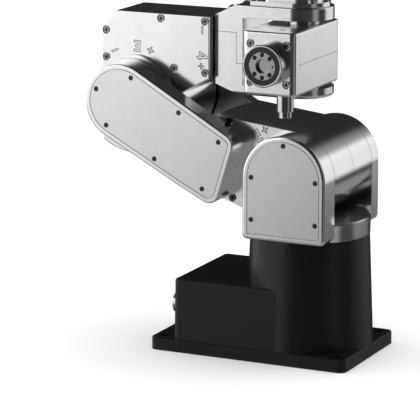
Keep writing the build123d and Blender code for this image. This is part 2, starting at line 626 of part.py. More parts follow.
with BuildPart() as elbow_motor:
    rod_y(MOTOR_X, MOTOR_Z, -17.5, 22, 10.5)
    rod_y(MOTOR_X, MOTOR_Z, BELT_Y[0] - 1, -17.5, MOTOR_SHAFT_R)
elbow_motor.part.label = "elbow_motor"
export_step(elbow_motor.part, "parts/elbow_motor.step")

with BuildPart() as elbow_pulleys:
    for x, z, radius in ((MOTOR_X, MOTOR_Z, MOTOR_PULLEY_R), (ELBOW_X, ELBOW_Z, ELBOW_PULLEY_R)):
        rod_y(x, z, *BELT_Y, radius)
        rod_y(x, z, BELT_Y[0] - 0.8, BELT_Y[0], radius + PULLEY_LIP)
    rod_y(MOTOR_X, MOTOR_Z, BELT_Y[0] - 1, BELT_Y[1], MOTOR_SHAFT_R, Mode.SUBTRACT)
elbow_pulleys.part.label = "elbow_pulleys"
export_step(elbow_pulleys.part, "parts/elbow_pulleys.step")

with BuildPart() as elbow_belt:
    with BuildSketch(facing_front(BELT_Y[1])):
        with Locations((ELBOW_X, ELBOW_Z)):
            Circle(ELBOW_PULLEY_R + BELT_T)
        with Locations((MOTOR_X, MOTOR_Z)):
            Circle(MOTOR_PULLEY_R + BELT_T)
        make_hull()
    extrude(amount=BELT_Y[1] - BELT_Y[0])
    with BuildSketch(facing_front(BELT_Y[1])):
        with Locations((ELBOW_X, ELBOW_Z)):
            Circle(ELBOW_PULLEY_R)
        with Locations((MOTOR_X, MOTOR_Z)):
            Circle(MOTOR_PULLEY_R)
        make_hull()
    extrude(amount=BELT_Y[1] - BELT_Y[0], mode=Mode.SUBTRACT)
elbow_belt.part.label = "elbow_belt"
export_step(elbow_belt.part, "parts/elbow_belt.step")

with BuildPart() as elbow_axles:
    rod_y(ELBOW_X, ELBOW_Z, -38, -22, ELBOW_AXLE_R)
    rod_y(ELBOW_X, ELBOW_Z, -40, -38, 13.0)
    rod_y(ELBOW_X, ELBOW_Z, 12, ARM_REAR_Y - REAR_CAP_T, ELBOW_AXLE_R)
elbow_axles.part.label = "elbow_axles"
export_step(elbow_axles.part, "parts/elbow_axles.step")

# ================================================================ forearm
FOREARM_CHAMFER = 12.2
BACK_BEVEL = 11.0           # along the upper rear edge
ROUND_START_Z = ELBOW_Z - sqrt(FOREARM_ROUND_R**2 - (FOREARM_LEFT_X - ELBOW_X)**2)
ROUND_END = (ELBOW_X + FOREARM_ROUND_R * cos(radians(10)), ELBOW_Z + FOREARM_ROUND_R * sin(radians(10)))
ROUND_LOW = (ELBOW_X + FOREARM_ROUND_R * cos(radians(-60)), ELBOW_Z + FOREARM_ROUND_R * sin(radians(-60)))
FOREARM_HEEL = (FOREARM_RIGHT_X, 199.5)

with BuildSketch() as forearm_profile:
    with BuildLine():
        Polyline(
            ROUND_END,
            FOREARM_HEEL,
            (FOREARM_RIGHT_X, FOREARM_TOP_Z),
            (FOREARM_LEFT_X + FOREARM_CHAMFER, FOREARM_TOP_Z),
            (FOREARM_LEFT_X, FOREARM_TOP_Z - FOREARM_CHAMFER),
            (FOREARM_LEFT_X, ROUND_START_Z),
        )
        ThreePointArc((FOREARM_LEFT_X, ROUND_START_Z), ROUND_LOW, ROUND_END)
    make_face()

FOREARM_SCREW_XZ = [
    (-104.3, 240.6),
    (-69.4, 240.6),
    (-148.4, 229.4),
    (-148.4, 209.8),
    (-94.0, 205.4),
    (-69.4, 203.6),
]
PLATE_BACK_Y = FOREARM_Y[0] + FOREARM_PLATE_T
FOREARM_SCREWS = [(x, FOREARM_Y[0] + SINK_DEPTH, z) for x, z in FOREARM_SCREW_XZ]
FOREARM_BOLT_LENGTH = FOREARM_PLATE_T - SINK_DEPTH
ELBOW_BEARING_R = 16.0
ROLL_BEARING_R = 18.0
ROLL_BEARING_X = (-78.0, -67.5)
FOREARM_CAVITY_Y = 20.0
PLATE_EDGE = 0.8
DISC_STEP_Y = -32.6         # the front disc is smaller beyond this
DISC_STEP = 2.8


def back_edge_cutter(leg):
    """Prism that bevels the forearm's upper rear edge by this leg."""
    rear_y = FOREARM_Y[1]
    corners = [(rear_y - leg, FOREARM_TOP_Z), (rear_y, FOREARM_TOP_Z - leg), (rear_y, FOREARM_TOP_Z)]
    section = Polyline(*corners, close=True)
    face = Plane.YZ.offset(FOREARM_LEFT_X) * make_face(section)
    return extrude(face, amount=FOREARM_RIGHT_X - FOREARM_LEFT_X)


OUTER_BEVEL = back_edge_cutter(BACK_BEVEL)
INNER_BEVEL = back_edge_cutter(BACK_BEVEL + 6)

with BuildPart() as forearm_cavity:
    with BuildSketch(facing_front(FOREARM_CAVITY_Y)):
        add(forearm_profile.sketch_local)
        offset(amount=-SHELL_T)
    extrude(amount=FOREARM_CAVITY_Y - PLATE_BACK_Y)
    add(INNER_BEVEL, mode=Mode.SUBTRACT)

with BuildPart() as forearm_housing:
    with BuildSketch(facing_front(FOREARM_Y[1])):
        add(forearm_profile.sketch_local)
    extrude(amount=FOREARM_Y[1] - PLATE_BACK_Y)
    add(OUTER_BEVEL, mode=Mode.SUBTRACT)
    add(forearm_cavity.part, mode=Mode.SUBTRACT)
    rod_y(ELBOW_X, ELBOW_Z, FOREARM_CAVITY_Y, FOREARM_Y[1], ELBOW_BEARING_R, Mode.SUBTRACT)
    rod_x(0, WRIST_Z, -80, FOREARM_RIGHT_X, ROLL_BEARING_R, Mode.SUBTRACT)
forearm_housing.part.label = "forearm_housing"
export_step(forearm_housing.part, "parts/forearm_housing.step")

with BuildPart() as forearm_front_plate:
    with BuildSketch(facing_front(PLATE_BACK_Y)):
        add(forearm_profile.sketch_local)
    extrude(amount=FOREARM_PLATE_T)
    fillet(forearm_front_plate.faces().sort_by(Axis.Y)[0].edges(), PLATE_EDGE)
    rod_y(ELBOW_X, ELBOW_Z, FOREARM_Y[0], PLATE_BACK_Y, ELBOW_BEARING_R, Mode.SUBTRACT)
    drill(FOREARM_SCREWS, TO_FRONT, SINK_R, SINK_DEPTH, M3_R, FOREARM_BOLT_LENGTH)
forearm_front_plate.part.label = "forearm_front_plate"
export_step(forearm_front_plate.part, "parts/forearm_front_plate.step")

with BuildPart() as forearm_screws:
    add_screws(FOREARM_SCREWS, TO_FRONT, PLATE_HEAD, M3_R, FOREARM_BOLT_LENGTH, SOCKET_PLATE)
forearm_screws.part.label = "forearm_screws"
export_step(forearm_screws.part, "parts/forearm_screws.step")

with BuildPart() as elbow_discs:
    rod_y(ELBOW_X, ELBOW_Z, DISC_STEP_Y, FOREARM_Y[0], ELBOW_DISC_R)
    rod_y(ELBOW_X, ELBOW_Z, BELT_BOX_Y[1] + MOVE_GAP, DISC_STEP_Y, ELBOW_DISC_R - DISC_STEP)
    rod_y(ELBOW_X, ELBOW_Z, FOREARM_Y[1], BACK_ARM_Y - MOVE_GAP, ELBOW_DISC_R)
    rod_y(ELBOW_X, ELBOW_Z, -36, BACK_ARM_Y, ELBOW_AXLE_R + MOVE_GAP, Mode.SUBTRACT)
elbow_discs.part.label = "elbow_discs"
export_step(elbow_discs.part, "parts/elbow_discs.step")

with BuildPart() as elbow_bearings:
    rod_y(ELBOW_X, ELBOW_Z, -29.5, -23, ELBOW_BEARING_R)
    rod_y(ELBOW_X, ELBOW_Z, 16, 23.5, ELBOW_BEARING_R)
    rod_y(ELBOW_X, ELBOW_Z, -30, 24, ELBOW_AXLE_R + RUN_GAP, Mode.SUBTRACT)
elbow_bearings.part.label = "elbow_bearings"
export_step(elbow_bearings.part, "parts/elbow_bearings.step")

with BuildPart() as elbow_gear_unit:
    rod_y(ELBOW_X, ELBOW_Z, -21.5, 11.5, 20.0)
elbow_gear_unit.part.label = "elbow_gear_unit"
export_step(elbow_gear_unit.part, "parts/elbow_gear_unit.step")

with BuildPart() as roll_motor:
    rod_x(0, WRIST_Z, -140, -102, 16.0)
roll_motor.part.label = "roll_motor"
export_step(roll_motor.part, "parts/roll_motor.step")

with BuildPart() as roll_gear_unit:
    rod_x(0, WRIST_Z, -102, -83, 18.0)
roll_gear_unit.part.label = "roll_gear_unit"
export_step(roll_gear_unit.part, "parts/roll_gear_unit.step")

with BuildPart() as roll_bearing:
    rod_x(0, WRIST_Z, *ROLL_BEARING_X, ROLL_BEARING_R)
    rod_x(0, WRIST_Z, *ROLL_BEARING_X, ROLL_SHAFT_R + RUN_GAP, Mode.SUBTRACT)
roll_bearing.part.label = "roll_bearing"
export_step(roll_bearing.part, "parts/roll_bearing.step")

with BuildPart() as roll_seal:
    rod_x(0, WRIST_Z, ROLL_BEARING_X[1], FORK_LEFT_X - MOVE_GAP, ROLL_BEARING_R)
    rod_x(0, WRIST_Z, FOREARM_RIGHT_X, FORK_LEFT_X - MOVE_GAP, 21.5)
    rod_x(0, WRIST_Z, ROLL_BEARING_X[1], FORK_LEFT_X, ROLL_SHAFT_R + MOVE_GAP, Mode.SUBTRACT)
roll_seal.part.label = "roll_seal"
export_step(roll_seal.part, "parts/roll_seal.step")

with BuildPart() as forearm_board:
    block((-134, -82), (-24.5, -22.9), (224, 238))
    block((-128, -100), (-22.9, -19), (228, 235))
forearm_board.part.label = "forearm_board"
export_step(forearm_board.part, "parts/forearm_board.step")

# ================================================================ fork
FORK_JOINT_Z = 233.0
FORK_STEP_Z = 210.8
FORK_STEP_X = -48.5
TOP_SLOPE = ((FORK_LEFT_X, 245.0), (-48.7, FORK_TOP_Z))
LOW_SLOPE = ((FORK_LEFT_X, 195.3), (-46.3, FORK_LOW_Z))

SLOPE_RUN = TOP_SLOPE[1][0] - TOP_SLOPE[0][0]
SLOPE_RISE = TOP_SLOPE[1][1] - TOP_SLOPE[0][1]
SLOPE_MID = (TOP_SLOPE[0][0] + SLOPE_RUN / 2, TOP_SLOPE[0][1] + SLOPE_RISE / 2)
SLOPE_TURN = (0, -degrees(atan2(SLOPE_RISE, SLOPE_RUN)), 0)
SLOPE_SCREWS = [(SLOPE_MID[0], y, SLOPE_MID[1]) for y in (-12.4, 12.4)]
SLOPE_SCREW_LENGTH = 3.0
PIVOT_SEAT_R = 13.0         # bearing seats in the fork's two tines
PIVOT_SEAT_DEPTH = 5.0
SHAFT_SOCKET_X = -56.0
LOW_ROUND = 2.5
TOP_ROUND = 1.2

with BuildPart() as fork_blank:
    block((FORK_LEFT_X, WRIST_X), (-FORK_HALF, FORK_HALF), (FORK_LOW_Z, FORK_TOP_Z))
    rod_z(WRIST_X, 0, FORK_LOW_Z, FORK_TOP_Z, FORK_HALF)
    block((FORK_WALL_X, 40), (-FORK_HALF, FORK_HALF), FORK_GAP_Z, Mode.SUBTRACT)
    with BuildSketch(facing_front(FORK_HALF)):
        for slope, corner_z in ((TOP_SLOPE, FORK_TOP_Z), (LOW_SLOPE, FORK_LOW_Z)):
            with BuildLine():
                Polyline(*slope, (FORK_LEFT_X, corner_z), close=True)
            make_face()
    extrude(amount=2 * FORK_HALF, mode=Mode.SUBTRACT)
    rod_x(0, WRIST_Z, FORK_LEFT_X, SHAFT_SOCKET_X, ROLL_SHAFT_R, Mode.SUBTRACT)
    rod_z(WRIST_X, 0, FORK_GAP_Z[0] - PIVOT_SEAT_DEPTH, FORK_GAP_Z[0], PIVOT_SEAT_R, Mode.SUBTRACT)
    rod_z(WRIST_X, 0, FORK_GAP_Z[1], FORK_TOP_Z, PIVOT_SEAT_R, Mode.SUBTRACT)
    for end, radius in ((0, LOW_ROUND), (-1, TOP_ROUND)):
        rims = fork_blank.edges().filter_by(GeomType.CIRCLE).group_by(Axis.Z)[end]
        fillet(rims.sort_by(Axis.X)[-1], radius)

with BuildPart() as fork_lower:
    add(fork_blank.part)
    block((FORK_LEFT_X, 40), (-30, 30), (FORK_JOINT_Z, 260), Mode.SUBTRACT)
    block((FORK_STEP_X, 40), (-30, 30), (FORK_STEP_Z, 260), Mode.SUBTRACT)
fork_lower.part.label = "fork_lower"
export_step(fork_lower.part, "parts/fork_lower.step")

with BuildPart() as fork_upper:
    add(fork_blank.part)
    block((FORK_LEFT_X, FORK_STEP_X + SEAM), (-30, 30), (180, FORK_JOINT_Z + SEAM), Mode.SUBTRACT)
    block((FORK_STEP_X, 40), (-30, 30), (180, FORK_STEP_Z + SEAM), Mode.SUBTRACT)
    drill(SLOPE_SCREWS, SLOPE_TURN, M3_R, 0.1, M3_R, SLOPE_SCREW_LENGTH)
fork_upper.part.label = "fork_upper"
export_step(fork_upper.part, "parts/fork_upper.step")

ROLL_SHAFT_X = (-82.0, SHAFT_SOCKET_X)
ROLL_SHAFT_BORE_R = 7.0

with BuildPart() as roll_shaft:
    rod_x(0, WRIST_Z, *ROLL_SHAFT_X, ROLL_SHAFT_R)
    rod_x(0, WRIST_Z, *ROLL_SHAFT_X, ROLL_SHAFT_BORE_R, Mode.SUBTRACT)
roll_shaft.part.label = "roll_shaft"
export_step(roll_shaft.part, "parts/roll_shaft.step")

CAP_FOOT_HALF = 19.8
CAP_HALF = 14.5
CAP_LEFT_X = -31.5
CAP_FOOT_T = 3.0
CAP_WALL = 2.5
CAP_CORNER = 4.0
CAP_EDGE = 1.2
CAP_INNER = CAP_HALF - CAP_WALL
CAP_SCREWS = [
    (x, y, FORK_TOP_Z + CAP_FOOT_T)
    for x, y in ((-35.5, -12.0), (-35.5, 12.0), (5.2, -12.2), (5.2, 12.2))
]

with BuildPart() as pitch_drive_cap:
    block((-39.0, WRIST_X), (-CAP_FOOT_HALF, CAP_FOOT_HALF), (FORK_TOP_Z, FORK_TOP_Z + CAP_FOOT_T))
    rod_z(WRIST_X, 0, FORK_TOP_Z, FORK_TOP_Z + CAP_FOOT_T, CAP_FOOT_HALF)
    block((CAP_LEFT_X, WRIST_X), (-CAP_HALF, CAP_HALF), (FORK_TOP_Z, CAP_TOP_Z))
    rod_z(WRIST_X, 0, FORK_TOP_Z, CAP_TOP_Z, CAP_HALF)
    fillet(pitch_drive_cap.edges().filter_by(Axis.Z).group_by(Axis.X)[1], CAP_CORNER)
    chamfer(pitch_drive_cap.faces().sort_by(Axis.Z)[-1].edges(), CAP_EDGE)
    inner_z = (FORK_TOP_Z, CAP_TOP_Z - CAP_WALL)
    block((CAP_LEFT_X + CAP_WALL, WRIST_X), (-CAP_INNER, CAP_INNER), inner_z, Mode.SUBTRACT)
    rod_z(WRIST_X, 0, *inner_z, CAP_INNER, Mode.SUBTRACT)
    drill(CAP_SCREWS, (0, 0, 0), M3_R, 0.5, M3_R, CAP_FOOT_T)
pitch_drive_cap.part.label = "pitch_drive_cap"
export_step(pitch_drive_cap.part, "parts/pitch_drive_cap.step")

with BuildPart() as fork_screws:
    add_screws(CAP_SCREWS, (0, 0, 0), PLATE_HEAD, M3_R, CAP_FOOT_T, SOCKET_PLATE)
    add_screws(SLOPE_SCREWS, SLOPE_TURN, PLATE_HEAD, M3_R, SLOPE_SCREW_LENGTH, SOCKET_PLATE)
fork_screws.part.label = "fork_screws"
export_step(fork_screws.part, "parts/fork_screws.step")

PITCH_MOTOR_Z = 262.0

with BuildPart() as pitch_drive:
    rod_z(WRIST_X, 0, FORK_TOP_Z + 0.5, PITCH_MOTOR_Z, CAP_INNER - 0.2)
    rod_z(WRIST_X, 0, PITCH_MOTOR_Z, CAP_TOP_Z - CAP_WALL - 0.5, CAP_INNER - 1)
pitch_drive.part.label = "pitch_drive"
export_step(pitch_drive.part, "parts/pitch_drive.step")

with BuildPart() as pitch_bearings:
    rod_z(WRIST_X, 0, FORK_GAP_Z[0] - PIVOT_SEAT_DEPTH, FORK_GAP_Z[0] - 0.3, PIVOT_SEAT_R)
    rod_z(WRIST_X, 0, FORK_GAP_Z[1] + 0.3, FORK_TOP_Z - 1, PIVOT_SEAT_R)
    rod_z(WRIST_X, 0, FORK_LOW_Z, FORK_TOP_Z, PIVOT_R + RUN_GAP, Mode.SUBTRACT)
pitch_bearings.part.label = "pitch_bearings"
export_step(pitch_bearings.part, "parts/pitch_bearings.step")

# ================================================================ wrist
WRIST_SCREWS = [
    (WRIST_X + x, WRIST_FRONT_Y + SINK_DEPTH, WRIST_Z + z)
    for x in (-WRIST_SCREW_PITCH / 2, WRIST_SCREW_PITCH / 2)
    for z in (-WRIST_SCREW_PITCH / 2, WRIST_SCREW_PITCH / 2)
]
WRIST_SCREW_LENGTH = WRIST_PLATE_Y - WRIST_FRONT_Y - SINK_DEPTH
WRIST_FRONT_CORNER = 4.0
WRIST_CAVITY_HALF = 17.0
WRIST_CAVITY_X = (WRIST_X - WRIST_CAVITY_HALF, WRIST_X + WRIST_CAVITY_HALF)
WRIST_CAVITY_Y = (WRIST_PLATE_Y, WRIST_REAR_Y - 3)
WRIST_WALL = 3.0
TOOL_BEARING_R = 9.0
PIVOT_BOSS_R = 12.0
NOSE_FLOOR_Y = -62.0
FLANGE_SEAL_Y = (-69.4, -65.0)
WRIST_EDGE = 1.5
WRIST_X_RANGE = (WRIST_X - WRIST_HALF, WRIST_X + WRIST_HALF)

with BuildPart() as wrist_front_plate:
    block(WRIST_X_RANGE, (WRIST_FRONT_Y, WRIST_PLATE_Y), WRIST_Z_RANGE)
    fillet(wrist_front_plate.edges().filter_by(Axis.Z).group_by(Axis.Y)[0], WRIST_FRONT_CORNER)
    for end in (0, -1):
        rim = wrist_front_plate.faces().sort_by(Axis.Z)[end].edges().sort_by(Axis.Y)[:-1]
        fillet(rim, WRIST_EDGE)
    rod_y(WRIST_X, WRIST_Z, WRIST_FRONT_Y, WRIST_PLATE_Y, TOOL_BEARING_R, Mode.SUBTRACT)
    drill(WRIST_SCREWS, TO_FRONT, SINK_R, SINK_DEPTH, M3_R, WRIST_SCREW_LENGTH)
wrist_front_plate.part.label = "wrist_front_plate"
export_step(wrist_front_plate.part, "parts/wrist_front_plate.step")

with BuildPart() as wrist_screws:
    add_screws(WRIST_SCREWS, TO_FRONT, PLATE_HEAD, M3_R, WRIST_SCREW_LENGTH, SOCKET_PLATE)
wrist_screws.part.label = "wrist_screws"
export_step(wrist_screws.part, "parts/wrist_screws.step")

with BuildPart() as wrist_upper_shell:
    block(WRIST_X_RANGE, (WRIST_PLATE_Y, WRIST_REAR_Y), (WRIST_SEAM_Z + SEAM, WRIST_Z_RANGE[1]))
    fillet(wrist_upper_shell.edges().filter_by(Axis.Z).group_by(Axis.Y)[-1], WRIST_CORNER)
    fillet(wrist_upper_shell.faces().sort_by(Axis.Z)[-1].edges().sort_by(Axis.Y)[1:], WRIST_EDGE)
    cavity_z = (WRIST_SEAM_Z + SEAM, WRIST_Z_RANGE[1] - WRIST_WALL)
    block(WRIST_CAVITY_X, WRIST_CAVITY_Y, cavity_z, Mode.SUBTRACT)
wrist_upper_shell.part.label = "wrist_upper_shell"
export_step(wrist_upper_shell.part, "parts/wrist_upper_shell.step")

with BuildPart() as wrist_lower_shell:
    block(WRIST_X_RANGE, (WRIST_PLATE_Y, WRIST_REAR_Y), (WRIST_Z_RANGE[0], WRIST_SEAM_Z))
    fillet(wrist_lower_shell.edges().filter_by(Axis.Z).group_by(Axis.Y)[-1], WRIST_CORNER)
    fillet(wrist_lower_shell.faces().sort_by(Axis.Z)[0].edges().sort_by(Axis.Y)[1:], WRIST_EDGE)
    cavity_z = (WRIST_Z_RANGE[0] + WRIST_WALL, WRIST_SEAM_Z)
    block(WRIST_CAVITY_X, WRIST_CAVITY_Y, cavity_z, Mode.SUBTRACT)
wrist_lower_shell.part.label = "wrist_lower_shell"
export_step(wrist_lower_shell.part, "parts/wrist_lower_shell.step")

with BuildPart() as wrist_pivots:
    rod_z(WRIST_X, 0, WRIST_Z_RANGE[1], FORK_GAP_Z[1] - MOVE_GAP, PIVOT_BOSS_R)
    rod_z(WRIST_X, 0, FORK_GAP_Z[1] - MOVE_GAP, FORK_TOP_Z - 1, PIVOT_R)
    rod_z(WRIST_X, 0, FORK_GAP_Z[0] + MOVE_GAP, WRIST_Z_RANGE[0], PIVOT_BOSS_R)
    rod_z(WRIST_X, 0, FORK_GAP_Z[0] - 4.6, FORK_GAP_Z[0] + MOVE_GAP, PIVOT_R)
wrist_pivots.part.label = "wrist_pivots"
export_step(wrist_pivots.part, "parts/wrist_pivots.step")

with BuildPart() as nose_ring:
    rod_y(WRIST_X, WRIST_Z, -FLANGE_REACH, WRIST_FRONT_Y, NOSE_R)
    chamfer(nose_ring.faces().sort_by(Axis.Y)[0].edges(), 0.7)
    rod_y(WRIST_X, WRIST_Z, -FLANGE_REACH, NOSE_FLOOR_Y, NOSE_BORE_R, Mode.SUBTRACT)
    rod_y(WRIST_X, WRIST_Z, NOSE_FLOOR_Y, WRIST_FRONT_Y, 6.0, Mode.SUBTRACT)
nose_ring.part.label = "nose_ring"
export_step(nose_ring.part, "parts/nose_ring.step")

with BuildPart() as flange_seal:
    rod_y(WRIST_X, WRIST_Z, *FLANGE_SEAL_Y, NOSE_BORE_R)
    rod_y(WRIST_X, WRIST_Z, *FLANGE_SEAL_Y, FLANGE_R + RUN_GAP, Mode.SUBTRACT)
flange_seal.part.label = "flange_seal"
export_step(flange_seal.part, "parts/flange_seal.step")

with BuildPart() as tool_bearing:
    rod_y(WRIST_X, WRIST_Z, WRIST_FRONT_Y, -53, TOOL_BEARING_R)
    rod_y(WRIST_X, WRIST_Z, WRIST_FRONT_Y, -53, PILOT_R + RUN_GAP, Mode.SUBTRACT)
tool_bearing.part.label = "tool_bearing"
export_step(tool_bearing.part, "parts/tool_bearing.step")

with BuildPart() as tool_drive:
    rod_y(WRIST_X, WRIST_Z, -49.5, -27, 14.0)
    rod_y(WRIST_X, WRIST_Z, -27, 12, 13.0)
tool_drive.part.label = "tool_drive"
export_step(tool_drive.part, "parts/tool_drive.step")

IO_X = 0.3
IO_Y = -46.5
IO_LOW_Z = 180.0
IO_STEP_Z = 184.5
IO_R = 6.0
IO_NECK_R = 4.6

with BuildPart() as tool_io_connector:
    rod_z(IO_X, IO_Y, IO_STEP_Z, WRIST_Z_RANGE[0], IO_R)
    rod_z(IO_X, IO_Y, WRIST_Z_RANGE[0] - 1.6, WRIST_Z_RANGE[0], IO_R + 0.6)
    rod_z(IO_X, IO_Y, IO_LOW_Z, IO_STEP_Z, IO_NECK_R)
    rod_z(IO_X, IO_Y, IO_LOW_Z, IO_STEP_Z - 1, IO_NECK_R - 0.8, Mode.SUBTRACT)
tool_io_connector.part.label = "tool_io_connector"
export_step(tool_io_connector.part, "parts/tool_io_connector.step")

# ================================================================ tool flange
FLANGE_HOLE_ANGLES = (45, 90, 135, 225, 270, 315)
FLANGE_HOLE_DEPTH = 5.0
FLANGE_PIN_R = 0.75
FLANGE_FACE_Y = -FLANGE_REACH

with BuildPart() as tool_flange:
    rod_y(WRIST_X, WRIST_Z, FLANGE_FACE_Y, -63, FLANGE_R)
    chamfer(tool_flange.faces().sort_by(Axis.Y)[0].edges(), 0.3)
    rod_y(WRIST_X, WRIST_Z, -63, -50, PILOT_R)
    rod_y(WRIST_X, WRIST_Z, FLANGE_FACE_Y, FLANGE_FACE_Y + PILOT_DEPTH, PILOT_R, Mode.SUBTRACT)
    for angle in FLANGE_HOLE_ANGLES:
        hole_x = WRIST_X + FLANGE_PCD / 2 * cos(radians(angle))
        hole_z = WRIST_Z + FLANGE_PCD / 2 * sin(radians(angle))
        hole_y = (FLANGE_FACE_Y, FLANGE_FACE_Y + FLANGE_HOLE_DEPTH)
        rod_y(hole_x, hole_z, *hole_y, FLANGE_HOLE_R, Mode.SUBTRACT)
        with Locations(Location((hole_x, FLANGE_FACE_Y, hole_z), TO_FRONT)):
            Cone(FLANGE_HOLE_R, FLANGE_MOUTH_R, 0.5, align=DOWNWARD, mode=Mode.SUBTRACT)
    pin_x = WRIST_X + FLANGE_PCD / 2
    rod_y(pin_x, WRIST_Z, FLANGE_FACE_Y, FLANGE_FACE_Y + 3, FLANGE_PIN_R, Mode.SUBTRACT)
tool_flange.part.label = "tool_flange"
export_step(tool_flange.part, "parts/tool_flange.step")
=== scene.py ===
"""Looks, light and camera for the six-axis desktop robot arm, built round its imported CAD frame."""

import math

import bpy
import numpy as np
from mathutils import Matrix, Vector


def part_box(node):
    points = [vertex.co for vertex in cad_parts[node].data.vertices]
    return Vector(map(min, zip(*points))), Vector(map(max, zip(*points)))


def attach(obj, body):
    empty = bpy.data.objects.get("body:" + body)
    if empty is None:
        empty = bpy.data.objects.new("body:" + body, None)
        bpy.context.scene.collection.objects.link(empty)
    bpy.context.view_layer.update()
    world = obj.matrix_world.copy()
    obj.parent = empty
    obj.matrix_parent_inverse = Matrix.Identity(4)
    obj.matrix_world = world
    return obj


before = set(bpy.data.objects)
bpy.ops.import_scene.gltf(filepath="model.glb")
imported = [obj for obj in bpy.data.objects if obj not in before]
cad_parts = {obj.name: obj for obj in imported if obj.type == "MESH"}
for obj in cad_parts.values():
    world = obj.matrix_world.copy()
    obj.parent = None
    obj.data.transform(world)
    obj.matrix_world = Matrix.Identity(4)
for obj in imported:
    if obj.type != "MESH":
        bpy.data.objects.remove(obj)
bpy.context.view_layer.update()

MM = 0.001

# ---------------------------------------------------------------- camera
CAMERA_AT = Vector((0.7590, -1.7587, 0.5388))
CAMERA_TARGET = Vector((-0.079879, 0.0, 0.096509))
LENS_MM = 234.2
SENSOR_MM = 36.0

camera_data = bpy.data.cameras.new("camera")
camera_data.lens = LENS_MM
camera_data.sensor_width = SENSOR_MM
camera_data.clip_start = 0.01
camera_data.clip_end = 100.0
camera = bpy.data.objects.new("camera", camera_data)
camera.location = CAMERA_AT
camera.rotation_mode = "QUATERNION"
camera.rotation_quaternion = (CAMERA_TARGET - CAMERA_AT).to_track_quat("-Z", "Y")
bpy.context.scene.collection.objects.link(camera)
bpy.context.scene.camera = camera
bpy.context.scene.view_settings.view_transform = "Standard"


# ---------------------------------------------------------------- node helpers
NOISE_ROUGHNESS = 0.5


class Tree:
    """Short calls for adding nodes to a node tree."""

    def __init__(self, tree):
        self.tree = tree

    def node(self, kind, inputs=None, **settings):
        made = self.tree.nodes.new(kind)
        for key, value in settings.items():
            setattr(made, key, value)
        for key, value in (inputs or {}).items():
            self.feed(made.inputs[key], value)
        return made

    def feed(self, socket, value):
        if isinstance(value, bpy.types.NodeSocket):
            self.tree.links.new(value, socket)
        else:
            socket.default_value = value

    def math(self, operation, *values):
        made = self.node("ShaderNodeMath", operation=operation)
        for i, value in enumerate(values):
            self.feed(made.inputs[i], value)
        return made.outputs[0]

    def vector(self, operation, *values):
        made = self.node("ShaderNodeVectorMath", operation=operation)
        for i, value in enumerate(values):
            self.feed(made.inputs[i], value)
        if operation in ("DOT_PRODUCT", "LENGTH"):
            return made.outputs["Value"]
        return made.outputs["Vector"]

    def ramp(self, value, low, high, to_low=0.0, to_high=1.0, smooth=True):
        """value from low..high to to_low..to_high, clamped."""
        kind = "SMOOTHSTEP" if smooth else "LINEAR"
        made = self.node(
            "ShaderNodeMapRange",
            {0: value, 1: low, 2: high, 3: to_low, 4: to_high},
            interpolation_type=kind,
        )
        return made.outputs[0]

    def noise(self, where, scale, detail):
        made = self.node(
            "ShaderNodeTexNoise",
            {"Vector": where, "Scale": scale, "Detail": detail, "Roughness": NOISE_ROUGHNESS},
        )
        return made.outputs[0]

    def mix_colour(self, share, a, b):
        made = self.node("ShaderNodeMix", data_type="RGBA")
        self.feed(made.inputs[0], share)
        self.feed(made.inputs[6], a)
        self.feed(made.inputs[7], b)
        return made.outputs[2]


def grey(value, warm=0.0):
    """A neutral colour, a little warmer for a positive warm."""
    return (value * (1 + warm), value, value * (1 - warm), 1.0)


# ---------------------------------------------------------------- light
world = bpy.data.worlds.new("studio")
bpy.context.scene.world = world
world.use_nodes = True
world.node_tree.nodes.clear()
w = Tree(world.node_tree)
direction = w.node("ShaderNodeTexCoord").outputs["Generated"]
split = w.node("ShaderNodeSeparateXYZ", {0: direction})
height = split.outputs["Z"]
level = w.vector(
    "NORMALIZE",
    w.node("ShaderNodeCombineXYZ", {0: split.outputs["X"], 1: split.outputs["Y"]}).outputs[0],
)


def softbox(azimuth, half_width, edge, low, high, rise, strength):
    """A soft bright patch of sky. Angles in degrees: azimuth 0 is -Y and 90 is +X."""
    a = math.radians(azimuth)
    across = w.vector("DOT_PRODUCT", level, (math.sin(a), -math.cos(a), 0.0))
    outer = math.cos(math.radians(min(half_width + edge, 180)))
    inner = math.cos(math.radians(max(half_width - edge, 0)))
    sides = w.ramp(across, outer, inner)
    foot = w.ramp(height, math.sin(math.radians(low - rise)), math.sin(math.radians(low + rise)))
    head = w.ramp(height, math.sin(math.radians(high + rise)), math.sin(math.radians(high - rise)))
    return w.math("MULTIPLY", w.math("MULTIPLY", sides, foot), w.math("MULTIPLY", head, strength))


def add_up(values):
    total = values[0]
    for value in values[1:]:
        total = w.math("ADD", total, value)
    return total


# azimuth, half width, edge, low, high, rise and strength of each panel
PANELS = [
    (-68.0, 45.0, 6.0, -13.5, 40.0, 7.0, 1.75),    # widest and brightest, on the -X side
    (140.0, 25.0, 8.0, -11.0, 16.0, 3.0, 1.1),     # low, between +X and +Y
    (125.0, 38.0, 12.0, 16.0, 40.0, 12.0, 0.8),    # above the one before
    (70.0, 9.0, 5.0, -25.0, 30.0, 6.0, 0.3),       # narrow and faint, near +X
]
ROOM = w.ramp(height, -0.3, 0.3, 0.05, 0.03)
FROM_BELOW = w.ramp(height, -0.25, -0.34, 0.0, 0.28)
glow = add_up([ROOM, FROM_BELOW, *(softbox(*panel) for panel in PANELS)])

# camera rays see plain white, and every other ray sees the panels
to_camera = w.node("ShaderNodeLightPath").outputs["Is Camera Ray"]
unseen = w.math("MULTIPLY", glow, w.math("SUBTRACT", 1.0, to_camera))
seen = w.math("ADD", unseen, to_camera)
background = w.node("ShaderNodeBackground", {"Strength": seen})
w.node("ShaderNodeOutputWorld", {"Surface": background.outputs[0]})


PAPER_ROUGHNESS = 0.9
PAPER_GLOSS = 0.1


